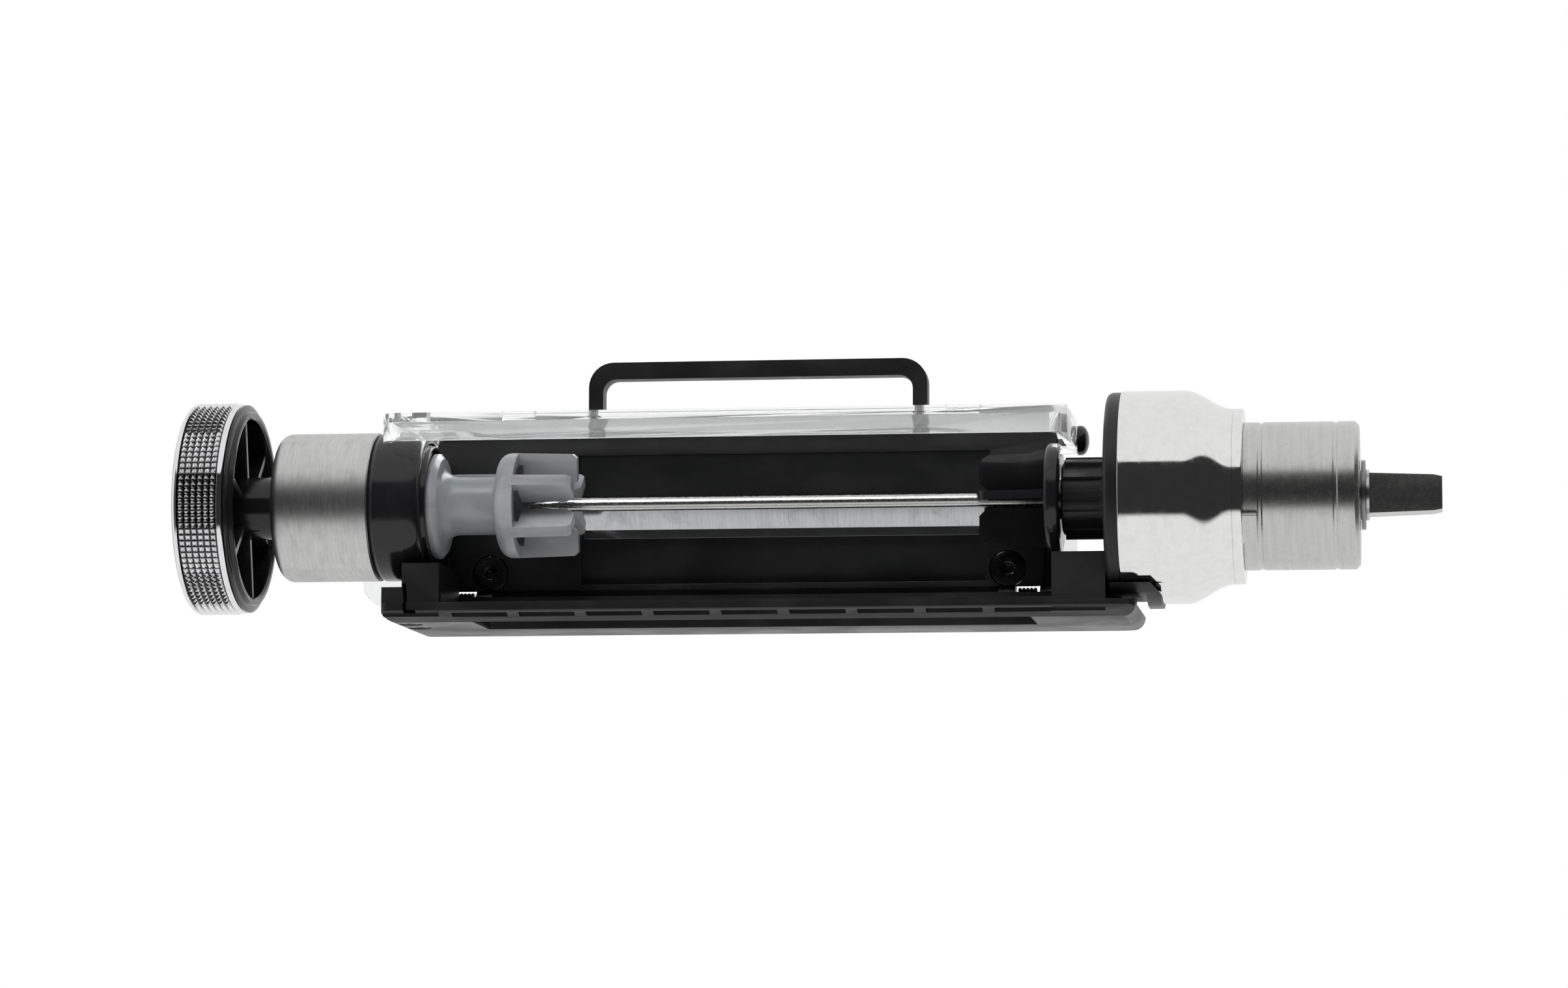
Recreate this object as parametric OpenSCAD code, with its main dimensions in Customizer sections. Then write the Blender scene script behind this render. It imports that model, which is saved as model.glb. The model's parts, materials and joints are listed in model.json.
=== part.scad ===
// Motor-driven vegetable peeler and sheet cutter.
// +X runs along the drive axis towards the machine, -Y faces the user, +Z is up.
// The origin is on the drive axis, at the shoulder of the hub shank.

/* [Hub fitting] */
// Diameter of the shank that enters the machine's hub
shank_d = 35; // [34:0.5:36]
// Length of the shank
shank_len = 27; // [24:1:32]
// Size across the flats of the square drive tang
tang_af = 9.5; // [9:0.1:9.6]
// Length of the square drive tang
tang_len = 17; // [12:1:24]

/* [Housing] */
// Largest diameter of the hub housing
housing_d = 50.6; // [50:0.2:56]
// Diameter of the housing at its rear end
neck_d = 41.6; // [40:0.2:44]
// Length of the housing
housing_len = 28.8; // [26:0.2:34]
// Wall of the housing
housing_wall = 2.4; // [2:0.1:3]

/* [End plate] */
// Diameter of the end plate
plate_d = 50; // [48:0.5:50.5]
// Thickness of the end plate
plate_t = 3.4; // [3:0.1:4]
// Diameter of the ribbed bearing boss
boss_d = 19.5; // [18:0.5:21]
// Length of the bearing boss
boss_len = 10.8; // [9:0.1:11]

/* [Food space] */
// Clear length between the drive prong and the food holder
food_len = 127; // [120:1:128]
// Diameter of the skewer
skewer_d = 3.2; // [3:0.1:4]
// Diameter of the drive prong's disc
prong_d = 26.4; // [24:0.2:26.6]
// Diameter of the food holder's disc
holder_d = 25.3; // [24:0.1:25.6]

/* [Plunger] */
// Travel of the plunger
plunger_travel = 20; // [10:1:20]
// Diameter of the knob
knob_d = 51.4; // [46:0.2:56]
// Width of the knob's chrome rim
knob_w = 14.6; // [12:0.2:16]
// Length of the black ring standing out past the knob's chrome rim
knob_ring = 1.9; // [1:0.1:3]
// Outside diameter of the spring barrel
barrel_d = 35.9; // [35:0.1:36]
// Outside diameter of the collar
collar_d = 36; // [36:0.1:37]

/* [Carriage] */
// Height of the carriage panel
panel_h = 40.1; // [40:0.1:40.5]
// Thickness of the carriage panel
panel_t = 4.5; // [4.5:0.1:5]
// Thickness of the blade
blade_t = 1; // [0.8:0.1:1]

/* [Guard] */
// Depth of the guard from front to back
guard_depth = 34; // [32:0.5:34]
// Height of the guard's front lip
guard_h = 6.6; // [5:0.2:6.8]
// Wall of the clear guard
guard_t = 2; // [1.8:0.1:2]
// Width of the lifting handle
handle_w = 82; // [60:1:100]
// Height of the lifting handle above the guard
handle_h = 13.7; // [12:0.1:20]

/* [Hidden] */
$fn = 64;
eps = 0.01;
run_fit = 0.05;

// stations along the drive axis
shank_r = shank_d / 2;
housing_x = -housing_len;
plate_x = housing_x - plate_t;
boss_x = plate_x - boss_len;
prong_face = boss_x - 0.4;
prong_t = 3.6;
prong_x = prong_face - prong_t;
fin_len = 16;
holder_x = prong_x - food_len;
holder_disc_t = 4.8;
holder_fin = 14;
holder_neck_x = holder_x - holder_disc_t;
holder_flange_x = holder_neck_x - 16.4;
holder_flange_t = 5;
holder_flange_r = 12.7;
collar_x0 = holder_flange_x - 13;
collar_x1 = holder_flange_x + 0.6;
collar_step = collar_x0 + 6;
collar_bore_r = 13.3;
barrel_x0 = collar_x0 - 24;
barrel_r = barrel_d / 2;
spring_space_r = 14.2;
bush_r = 8.5;
knob_x1 = barrel_x0 - 7.4;
knob_x0 = knob_x1 - knob_w;
rim_x1 = knob_x1 - knob_ring;
knob_r = knob_d / 2;
rod_r = 4;
rod_collar_x0 = holder_flange_x - 1.6;
rod_collar_x1 = holder_flange_x - 0.1;
rod_end = holder_neck_x - 5.4;

// journals of the drive shaft
front_r = 5;
rear_r = 6;
thrust_x = housing_x;
tang_x = shank_len + 2.2;
clip_x = shank_len + 0.35;
clip_t = 1;

// frame
frame_x0 = -205;
frame_x1 = -25;
frame_y0 = -16;
frame_y1 = 30;
frame_bottom = -29;
frame_floor = -26.4;
beam_top = -24.6;
beam_y = -11;
slot_count = 9;
slot_len = 13.4;
slot_w = 1.8;
slot_pitch = 16.2;
block_top = -15.1;
window_x = [-183.5, -50];
window_y = [beam_y, 10];
left_wall_x = -198.6;
right_wall_x = -44.8;

// carriage
panel_x = [-198, -46];
panel_y = 17;
panel_back = panel_y + panel_t;
panel_z0 = -21.3;
panel_z1 = panel_z0 + panel_h;
pivot_y = 18.75;
pivot_z = -22.5;
pivot_r = 2;
pivot_boss_r = 3.6;
throat_x = [-163, -62];
throat_z0 = -17.8;
blade_z0 = -6.5;
blade_tab = 5;
carrier_x = [-195, -49];
carrier_z = [-19.2, -2.5];
carrier_y = 15.9;
edge_y = 13.4;
edge_z = 2;
blade_screw_x = [-184.5, -57.7];
blade_screw_z = -14.8;
shield_y = [29, 31];
standoff_x = [-190, -122, -54];
standoff_z = 4;

// guard
hinge_y = 20;
hinge_z = 16.4;
hinge_r = 1.3;
knuckle_r = 3.3;
guard_x = [-205, -41];
guard_y0 = -18;
guard_y1 = guard_y0 + guard_depth;
guard_top = 20.6;
left_arm_x = [-202, -198.4];
right_arm_x = [-45.6, -41.2];
handle_mid = -116.4;
handle_y = 1.5;
handle_bar = 4.1;
handle_leg = 3.5;
handle_depth = 5;
handle_screw_x = [for (side = [-1, 1]) handle_mid + side * (handle_w - handle_leg) / 2];

// points of an arc from angle a0 to a1, in n steps
function arc(c, r, a0, a1, n = 8) =
    [for (i = [0:n]) c + r * [cos(a0 + (a1 - a0) * i / n), sin(a0 + (a1 - a0) * i / n)]];

// outline of a rectangle with its own radius at each corner, from the lower left round
function rounded(p, q, r) = concat(
    arc([p[0] + r[0], p[1] + r[0]], r[0], 180, 270),
    arc([q[0] - r[1], p[1] + r[1]], r[1], 270, 360),
    arc([q[0] - r[2], q[1] - r[2]], r[2], 0, 90),
    arc([p[0] + r[3], q[1] - r[3]], r[3], 90, 180));

// a cylinder on the drive axis
module along_x(x0, x1, r) {
    translate([x0, 0, 0])
        rotate([0, 90, 0])
            cylinder(h = x1 - x0, r = r);
}

// a solid of revolution about the drive axis from points [radius, x]
module turned(points) {
    rotate([0, 90, 0])
        rotate_extrude()
            polygon(points);
}

// prisms along each axis; their outlines are drawn as [y, z], [x, z] and [x, y]
module slab_x(x0, x1) {
    translate([x0, 0, 0])
        rotate([90, 0, 90])
            linear_extrude(x1 - x0)
                children();
}

module slab_y(y0, y1) {
    translate([0, y1, 0])
        rotate([90, 0, 0])
            linear_extrude(y1 - y0)
                children();
}

module slab_z(z0, z1) {
    translate([0, 0, z0])
        linear_extrude(z1 - z0)
            children();
}

// a box from its lowest to its highest corner
module block(p, q) {
    translate(p)
        cube(q - p);
}

// a round wire swept through points, with its ends closed
module wire(points, r, sides = 8) {
    last = len(points) - 1;
    rings = [
        for (i = [0:last])
            let (d = points[min(i + 1, last)] - points[max(i - 1, 0)],
                 t = d / norm(d),
                 u0 = cross(t, abs(t[0]) < 0.8 ? [1, 0, 0] : [0, 0, 1]),
                 u = u0 / norm(u0),
                 v = cross(t, u))
            for (k = [0:sides - 1])
                points[i] + r * (cos(360 * k / sides) * u + sin(360 * k / sides) * v)
    ];
    skin = [
        for (i = [0:last - 1], k = [0:sides - 1])
            let (a = i * sides + k, b = i * sides + (k + 1) % sides)
            [a, a + sides, b + sides, b]
    ];
    caps = [
        [for (k = [0:sides - 1]) k],
        [for (k = [sides - 1:-1:0]) last * sides + k]
    ];
    polyhedron(rings, concat(skin, caps), convexity = 6);
}

// ---- hub end ----

bolt_ring_r = 19.6;
bolt_angles = [90, 210, 330];
key_angle = 28.5;

// outside of the housing as [radius, x], with an S-shaped shoulder; inset makes the inside
function housing_line(inset) = concat(
    [[housing_d / 2 - inset, housing_x]],
    [for (i = [0:12])
        [neck_d / 2 - inset + (housing_d - neck_d) / 2 * (1 + cos(15 * i)) / 2,
         housing_x + 14.8 + 11.5 * i / 12]]);

module key_shape(grow = 0) {
    rotate([180 + key_angle, 0, 0])
        translate([0, 19.3, 0])
            block([-3, -1 - grow, -3.7 - grow], [3.5, 1 + grow, 3.7 + grow]);
}

module hub_housing() {
    color("lightgray")
        difference() {
            union() {
                turned(concat(
                    housing_line(0),
                    [[neck_d / 2, 0], [15, 0], [15, -5], [neck_d / 2 - housing_wall, -5]],
                    [for (i = [len(housing_line(0)) - 1:-1:0])
                        if (housing_line(0)[i][1] < -5) housing_line(housing_wall)[i]]));
                for (a = bolt_angles)
                    rotate([a, 0, 0])
                        translate([0, bolt_ring_r, 0])
                            along_x(housing_x, -14.5, 3.7);
            }
            for (a = bolt_angles)
                rotate([a, 0, 0])
                    translate([0, bolt_ring_r, 0])
                        along_x(housing_x - 1, housing_x + 12, 1.5);
            slab_y(-20, 20)
                polygon(concat(
                    [[housing_x - 1, -30], [housing_x - 1, -21.3]],
                    arc([housing_x + 7, -23.8], 2.5, 90, 0),
                    [[housing_x + 9.5, -30]]));
            key_shape();
        }
}

module hub_shank() {
    color("gainsboro")
        turned([
            [bush_r, -5], [15, -5], [15, 0], [shank_r, 0], [shank_r, shank_len - 1],
            [shank_r - 1, shank_len], [bush_r, shank_len]]);
}

module locating_key() {
    color("dimgray")
        key_shape();
}

module end_plate() {
    core_r = boss_d / 2 - 1.1;
    rim = plate_d / 2;
    color("#1c1c1e")
        difference() {
            union() {
                turned(concat(
                    [[7.5, housing_x], [rim, housing_x]],
                    arc([rim - 1.6, plate_x + 1.6], 1.6, 0, -90),
                    arc([core_r + 2.5, plate_x - 2.5], 2.5, 90, 180),
                    [[core_r, boss_x + 0.4], [core_r - 0.4, boss_x], [7.5, boss_x]]));
                for (a = [0:30:359])
                    rotate([a, 0, 0])
                        block([boss_x + 0.6, core_r - 0.6, -0.8], [plate_x + eps, boss_d / 2, 0.8]);
                intersection() {
                    slab_y(-16, 16)
                        polygon([
                            [plate_x + 1, -23.7], [housing_x + 6, -23.7], [housing_x + 6, -26.1],
                            [housing_x + 9.4, -26.1], [housing_x + 9.4, -23.8],
                            [housing_x + 7.1, -21.5], [plate_x + 1, -21.5]]);
                    along_x(plate_x, 0, 26.4);
                }
            }
            for (a = bolt_angles)
                rotate([a, 0, 0])
                    translate([0, bolt_ring_r, 0]) {
                        along_x(plate_x - 1, 0, 1.7);
                        along_x(plate_x - 1, plate_x + 1.8, 3.1);
                    }
            for (side = [-1, 1])
                translate([0, side * 8, -17.5])
                    along_x(plate_x - 1, 0, 1.7);
        }
}

module bush(x0, x1, bore, outer) {
    color("#b08d57")
        turned([
            [bore, x0 + 0.3], [bore + 0.3, x0], [outer, x0], [outer, x1],
            [bore + 0.3, x1], [bore, x1 - 0.3]]);
}

module front_bush() {
    bush(boss_x + 0.4, plate_x + 1.4, front_r + run_fit, 7.5);
}

module rear_bush() {
    bush(8, shank_len - 0.5, rear_r + run_fit, bush_r);
}

// a pan-headed screw whose head's underside is at the origin and whose shank runs along +Z
module pan_screw(r, length, head_r, head_h) {
    difference() {
        union() {
            cylinder(h = length, r = r);
            translate([0, 0, -head_h])
                cylinder(h = head_h, r = head_r);
        }
        translate([0, 0, -head_h - eps])
            cylinder(h = head_h * 0.6, r = head_r * 0.42, $fn = 6);
    }
}

module housing_screws() {
    color("silver")
        for (a = bolt_angles)
            rotate([a, 0, 0])
                translate([plate_x + 1.8, bolt_ring_r, 0])
                    rotate([0, 90, 0])
                        pan_screw(1.5, 11, 2.8, 1.6);
}

// ---- drive ----

// the pin that ties the prong, the shaft and the skewer together
module cross_pin(z0, z1) {
    translate([prong_x + 1.8, 0, z0])
        cylinder(h = z1 - z0, r = 0.8);
}

module drive_shaft() {
    half = tang_af / 2;
    tip = half - 0.9;
    taper = [
        [tang_x, -half], [tang_x + tang_len - 2, -half + 0.5], [tang_x + tang_len, -tip],
        [tang_x + tang_len, tip], [tang_x + tang_len - 2, half - 0.5], [tang_x, half]];
    color("silver")
        difference() {
            union() {
                turned([
                    [0, prong_x + 0.6], [front_r - 0.5, prong_x + 0.6],
                    [front_r, prong_x + 1.1], [front_r, thrust_x + 1.1],
                    [9, thrust_x + 1.1], [9, thrust_x + 4.1], [rear_r, thrust_x + 4.1],
                    [rear_r, clip_x - 0.05], [front_r, clip_x - 0.05],
                    [front_r, clip_x + clip_t + 0.05], [rear_r, clip_x + clip_t + 0.05],
                    [rear_r, tang_x], [0, tang_x]]);
                intersection() {
                    slab_y(-half, half)
                        polygon(taper);
                    slab_z(-half, half)
                        polygon(taper);
                }
            }
            along_x(prong_x, prong_x + 17, skewer_d / 2);
            cross_pin(-10, 10);
        }
}

module drive_prong() {
    rim = prong_d / 2;
    color("#1c1c1e")
        difference() {
            union() {
                turned(concat(
                    [[0, prong_face], [rim - 0.8, prong_face]],
                    arc([rim - 0.8, prong_face - 0.8], 0.8, 90, 0, 4),
                    arc([rim - 1.4, prong_x + 1.4], 1.4, 0, -90, 6),
                    [[0, prong_x]]));
                for (a = [0:90:270])
                    rotate([a, 0, 0])
                        slab_z(-1, 1)
                            polygon(concat(
                                [[prong_x + 1, 2.2], [prong_x + 1, 11.6], [prong_x - 2, 11.6],
                                 [prong_x - 4, 10.9]],
                                arc([prong_x - fin_len + 3, 7.6], 3, 90, 180, 6),
                                [[prong_x - fin_len, 4], [prong_x - fin_len + 1.8, 2.2]]));
            }
            along_x(prong_x + 0.6, prong_face + 1, front_r);
            along_x(prong_x - 1, prong_face, skewer_d / 2);
            cross_pin(-11, 11);
        }
}

module prong_pin() {
    color("silver")
        cross_pin(-11, 11);
}

module skewer() {
    tip_x = holder_x + 0.9;
    color("silver")
        difference() {
            turned([
                [0, tip_x], [0.25, tip_x], [skewer_d / 2, tip_x + 9],
                [skewer_d / 2, prong_x + 17], [0, prong_x + 17]]);
            cross_pin(-5, 5);
        }
}

module thrust_washer() {
    color("whitesmoke")
        turned([
            [front_r + 0.25, thrust_x + 0.05], [10, thrust_x + 0.05], [10, thrust_x + 1.05],
            [front_r + 0.25, thrust_x + 1.05]]);
}

module retaining_clip() {
    color("silver")
        difference() {
            along_x(clip_x, clip_x + clip_t, 8.2);
            along_x(clip_x - 1, clip_x + clip_t + 1, front_r);
            block([clip_x - 1, 0, -3], [clip_x + clip_t + 1, 10, 3]);
        }
}

// ---- plunger end ----

module collar() {
    rim = collar_d / 2;
    color("#1c1c1e")
        difference() {
            turned(concat(
                [[16, collar_x0], [rim - 0.8, collar_x0]],
                arc([rim - 0.8, collar_x0 + 0.8], 0.8, -90, 0, 4),
                [for (i = [0:8])
                    [rim - 3 + 3 * cos(11.25 * i), collar_x0 + 6.2 + 5.2 * sin(11.25 * i)]],
                arc([rim - 4, collar_x1 - 0.9], 0.9, 0, 90, 4),
                [[collar_bore_r, collar_x1], [collar_bore_r, collar_step], [16, collar_step]]));
            for (side = [-1, 1])
                translate([collar_x0 + 8.5, side * 5, -18.5])
                    cylinder(h = 3.5, r = 1.5);
        }
}

module barrel() {
    color("silver")
        turned(concat(
            [[bush_r, barrel_x0]],
            arc([barrel_r - 2.5, barrel_x0 + 2.5], 2.5, -90, 0),
            [[barrel_r, collar_x0], [16, collar_x0], [16, collar_step],
             [spring_space_r, collar_step], [spring_space_r, barrel_x0 + 2.4],
             [bush_r, barrel_x0 + 2.4]]));
}

module barrel_bush() {
    color("#2a2a2c")
        turned([
            [rod_r + run_fit, barrel_x0 + 0.2], [bush_r, barrel_x0 + 0.2],
            [bush_r, barrel_x0 + 2.4], [12.5, barrel_x0 + 2.4], [12.5, barrel_x0 + 6],
            [rod_r + run_fit, barrel_x0 + 6]]);
}

module plunger_spring() {
    turns = 6.5;
    x0 = barrel_x0 + 6.7;
    x1 = rod_collar_x0 - 0.7;
    steps = 96;
    color("silver")
        wire(
            [for (i = [0:steps])
                let (a = 360 * turns * i / steps)
                [x0 + (x1 - x0) * i / steps, 9.2 * cos(a), 9.2 * sin(a)]],
            0.65);
}

module plunger_rod() {
    color("silver")
        difference() {
            turned([
                [0, knob_x0 + 6], [rod_r, knob_x0 + 6], [rod_r, rod_collar_x0],
                [11, rod_collar_x0], [11, rod_collar_x1], [rod_r, rod_collar_x1],
                [rod_r, rod_end - 1.9], [rod_r - 0.8, rod_end - 1.9],
                [rod_r - 0.8, rod_end - 0.9], [rod_r, rod_end - 0.9],
                [rod_r, rod_end - 0.5], [rod_r - 0.5, rod_end], [0, rod_end]]);
            along_x(knob_x0 + 5, knob_x0 + 17, 2.5);
        }
}

module knob_rim() {
    color("lightgray")
        turned(concat(
            [[20, knob_x0 + 1.9], [20, knob_x0 + 0.4], [20.4, knob_x0]],
            arc([knob_r - 1.8, knob_x0 + 1.8], 1.8, -90, 0, 6),
            arc([knob_r - 1.1, rim_x1 - 0.9], 0.9, 0, 85, 6),
            [[24.2, rim_x1], [24.2, knob_x0 + 1.9]]));
}

module knob_core() {
    web = knob_x0 + 4;
    pocket_r = 21.7;
    color("#1c1c1e")
        difference() {
            union() {
                turned([
                    [0, web], [0, knob_x0 + 2.2], [20, knob_x0 + 2.2], [20, knob_x0 + 2],
                    [24.1, knob_x0 + 2], [24.1, rim_x1 + 0.1], [25.2, rim_x1 + 0.1],
                    [25.2, rim_x1 + 0.6], [24.3, knob_x1 - 0.9], [23.7, knob_x1 - 0.9],
                    [23.3, knob_x1], [pocket_r + 0.5, knob_x1], [pocket_r, knob_x1 - 0.5],
                    [pocket_r, web]]);
                along_x(web - 1, barrel_x0 - 0.6, 7.6);
                for (a = [-17:60:283])
                    rotate([a, 0, 0])
                        block([web - 1, 7, -0.8], [knob_x1 - 1.4, pocket_r + 0.5, 0.8]);
            }
            along_x(knob_x0 + 6, barrel_x0, rod_r);
            along_x(knob_x0, knob_x0 + 7, 2.7);
            along_x(knob_x0, knob_x0 + 4, 5);
        }
}

module knob_cap() {
    color("lightgray")
        turned([
            [0, knob_x0 + 0.5], [17, knob_x0 + 0.6], [19.3, knob_x0 + 1], [19.9, knob_x0 + 1.5],
            [19.9, knob_x0 + 2.1], [0, knob_x0 + 2.1]]);
}

module knob_screw() {
    color("dimgray")
        translate([knob_x0 + 4, 0, 0])
            rotate([0, 90, 0])
                pan_screw(2.5, 12, 4.6, 1.7);
}

module holder_clip() {
    color("silver")
        difference() {
            along_x(rod_end - 1.85, rod_end - 0.95, 5.2);
            along_x(rod_end - 3, rod_end, rod_r - 0.8);
            block([rod_end - 3, 0, -2], [rod_end, 6, 2]);
        }
}

module food_holder() {
    neck_r = 7;
    fin_t = 2.8;
    disc_r = holder_d / 2;
    flange_end = holder_flange_x + holder_flange_t;
    color("#85888c")
        difference() {
            union() {
                turned(concat(
                    [[0, holder_flange_x], [holder_flange_r - 0.4, holder_flange_x],
                     [holder_flange_r, holder_flange_x + 0.4],
                     [holder_flange_r, holder_flange_x + 1.6],
                     [holder_flange_r - 1.2, holder_flange_x + 2.6]],
                    arc([neck_r + 3.6, flange_end + 1.2], 3.6, 250, 180, 6),
                    arc([neck_r + 1.2, holder_neck_x - 1.2], 1.2, 180, 90, 4),
                    [[disc_r - 3, holder_neck_x]],
                    arc([disc_r - 3, holder_neck_x + 3], 3, -90, 0, 8),
                    [[disc_r, holder_x], [0, holder_x]]));
                for (a = [37:60:337])
                    rotate([a, 0, 0])
                        slab_z(-fin_t / 2, fin_t / 2)
                            polygon([
                                [holder_x - 1, 4], [holder_x - 1, disc_r],
                                [holder_x + holder_fin - 1, disc_r - 0.4],
                                [holder_x + holder_fin, disc_r - 1.4],
                                [holder_x + holder_fin, 6], [holder_x + holder_fin - 2, 4]]);
                block([holder_flange_x + 4, -0.8, 0], [holder_neck_x + 2, 0.8, neck_r + 0.6]);
            }
            along_x(holder_flange_x - 1, holder_x, rod_r + 0.08);
            along_x(rod_end - 2.5, holder_x + 1, 5.7);
            turned([[5.2, holder_x - 3.2], [9.6, holder_x - 3.2], [9.9, holder_x + 1], [5.2, holder_x + 1]]);
        }
}

// ---- frame ----

// front beam with its sloping lower face, as [y, z]
function beam_outline() = [
    [frame_y0, beam_top], [frame_y0, beam_top - 2], [beam_y, frame_bottom], [beam_y, beam_top]];

module frame_body() {
    slab_x(frame_x0, frame_x1)
        polygon(beam_outline());
    block([frame_x0, beam_y, frame_bottom], [frame_x1, frame_y1, frame_floor]);
    block([-192, 12.5, frame_bottom], [-40, 14.5, -20.9]);
    block([frame_x0, frame_y0 + 1.5, frame_bottom + 1], [-199, 10, -20.8]);
    block([-200, frame_y0 + 1.5, frame_bottom + 1], [-191, 10, block_top]);
    block([frame_x0, 9, frame_bottom], [left_wall_x, 25, -17.5]);
    block([right_wall_x, frame_y0 + 1.5, frame_bottom + 1], [plate_x, 13, -14]);
    block([right_wall_x, 9, frame_bottom], [-38, 25, -17.5]);
}

module lower_frame() {
    color("#1c1c1e")
        difference() {
            intersection() {
                frame_body();
                slab_y(-20, 40)
                    polygon(rounded([frame_x0, frame_bottom], [frame_x1, 0], [3, 3, 0.5, 0.5]));
                slab_z(-40, 0)
                    polygon(rounded([frame_x0, frame_y0], [frame_x1, frame_y1], [2, 2, 7, 4]));
            }
            block(
                [window_x[0], window_y[0], frame_bottom - 1],
                [window_x[1], window_y[1], frame_floor + 1]);
            for (i = [0:slot_count - 1])
                translate([-187.8 + slot_pitch * i, -14.9, -32])
                    cube([slot_len, slot_w, 10]);
            along_x(-215, collar_x1 + 0.4, collar_d / 2);
            translate([0, pivot_y, pivot_z])
                along_x(frame_x0 - 1, -30, pivot_r + run_fit);
            slab_y(frame_y0 - 1, frame_y0 + 5)
                polygon([
                    [-199.8, -20], [-199.3, -27.2], [-196.4, -27.2], [-196.4, -26.4],
                    [-198.5, -26.4], [-198.9, -20]]);
            block([plate_x, frame_y0 - 1, -25.3], [frame_x1 + 1, frame_y1 + 1, 0]);
            for (side = [-1, 1]) {
                translate([0, side * 8, -17.5])
                    along_x(plate_x - 9, 0, 1.5);
                translate([collar_x0 + 8.5, side * 5, -40])
                    cylinder(h = 40, r = 1.7);
                translate([collar_x0 + 8.5, side * 5, -40])
                    cylinder(h = 13, r = 3);
            }
        }
}

module frame_screws() {
    color("silver")
        for (side = [-1, 1]) {
            translate([housing_x, side * 8, -17.5])
                rotate([0, -90, 0])
                    pan_screw(1.5, 12, 2.6, 1.8);
            translate([collar_x0 + 8.5, side * 5, -27])
                pan_screw(1.5, 12, 2.8, 1.8);
        }
}

// ---- carriage ----

module pivot_boss(x0, x1) {
    translate([0, pivot_y, pivot_z])
        along_x(x0, x1, pivot_boss_r);
}

module carriage_panel() {
    color("#1c1c1e")
        difference() {
            union() {
                slab_y(panel_y, panel_back)
                    polygon(rounded(
                        [panel_x[0], panel_z0], [panel_x[1], panel_z1], [1.5, 1.5, 3, 3]));
                pivot_boss(panel_x[0], panel_x[0] + 4);
                pivot_boss(panel_x[0] + 10, panel_x[0] + 14);
                pivot_boss(panel_x[1] - 4, panel_x[1]);
                pivot_boss(panel_x[1] - 14, panel_x[1] - 10);
                translate([0, hinge_y, hinge_z]) {
                    along_x(panel_x[0], panel_x[0] + 8, panel_z1 - hinge_z);
                    along_x(panel_x[1] - 8, panel_x[1], panel_z1 - hinge_z);
                }
                for (x = standoff_x)
                    translate([x, shield_y[0], standoff_z])
                        rotate([90, 0, 0])
                            cylinder(h = shield_y[0] - panel_back + eps, r = 3.4);
                for (x = [-176, -68])
                    block([x - 1, panel_back - 1, -17], [x + 1, panel_back + 3, 15]);
                block([-184, panel_back - 1, 13], [-60, panel_back + 3, 15]);
            }
            block([throat_x[0], panel_y - 1, panel_z0 - 1], [throat_x[1], panel_y + 2.4, 14]);
            block(
                [throat_x[0] - blade_tab, panel_y - 1, blade_z0],
                [throat_x[1] + blade_tab, panel_y + blade_t, -3.6]);
            translate([0, pivot_y, pivot_z])
                along_x(panel_x[0] - 1, panel_x[1] + 1, pivot_r);
            translate([0, hinge_y, hinge_z]) {
                along_x(panel_x[0] - 1, panel_x[0] + 7, hinge_r);
                along_x(panel_x[1] - 7, panel_x[1] + 1, hinge_r);
            }
            block([panel_x[0] + 4, 13, -30], [panel_x[0] + 10, 30, -17.6]);
            block([panel_x[1] - 10, 13, -30], [panel_x[1] - 4, 30, -17.6]);
            for (x = standoff_x)
                translate([x, shield_y[0] + 1, standoff_z])
                    rotate([90, 0, 0])
                        cylinder(h = 8, r = 1.25);
            for (x = blade_screw_x)
                translate([x, panel_y, blade_screw_z])
                    rotate([-90, 0, 0]) {
                        translate([0, 0, -eps])
                            cylinder(h = 2.4 + eps, r1 = 4.4 + eps, r2 = 2);
                        cylinder(h = 20, r = 2);
                    }
        }
}

// black plate that holds the blade, with the window that the sheet leaves through
module blade_carrier() {
    color("#1c1c1e")
        difference() {
            slab_y(carrier_y, panel_y)
                polygon(rounded(
                    [carrier_x[0], carrier_z[0]], [carrier_x[1], carrier_z[1]], [1.5, 1.5, 1, 1]));
            block(
                [throat_x[0] + 1, carrier_y - 1, throat_z0],
                [throat_x[1] - 1, panel_y + 1, carrier_z[1] + 1]);
            for (x = blade_screw_x)
                translate([x, panel_y + 1, blade_screw_z])
                    rotate([90, 0, 0])
                        cylinder(h = 4, r = 4.5);
        }
}

// its root lies in the panel under the carrier's arms, and its edge leans out to the food
module blade() {
    back = panel_y + blade_t;
    color("silver")
        union() {
            block([throat_x[0] - blade_tab, panel_y, blade_z0], [throat_x[1] + blade_tab, back, -3.6]);
            slab_x(throat_x[0] + 1.2, throat_x[1] - 1.2)
                polygon([
                    [panel_y, blade_z0], [back, blade_z0], [back, -3.6], [edge_y + 0.15, edge_z],
                    [edge_y, edge_z - 0.6], [panel_y, -4.4]]);
        }
}

module blade_screws() {
    color("silver")
        for (x = blade_screw_x)
            translate([x, panel_y, blade_screw_z])
                rotate([-90, 0, 0])
                    difference() {
                        union() {
                            translate([0, 0, -0.9])
                                cylinder(h = 0.9, r = 4.4);
                            cylinder(h = 2.4, r1 = 4.4, r2 = 2);
                            cylinder(h = 4.2, r = 2);
                        }
                        translate([0, 0, -1])
                            cylinder(h = 2.2, r = 1.45, $fn = 6);
                    }
}

module pivot_pins() {
    color("silver")
        translate([0, pivot_y, pivot_z]) {
            along_x(frame_x0 + 0.6, panel_x[0] + 13.6, pivot_r);
            along_x(panel_x[1] - 13.6, -38.6, pivot_r);
        }
}

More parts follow.
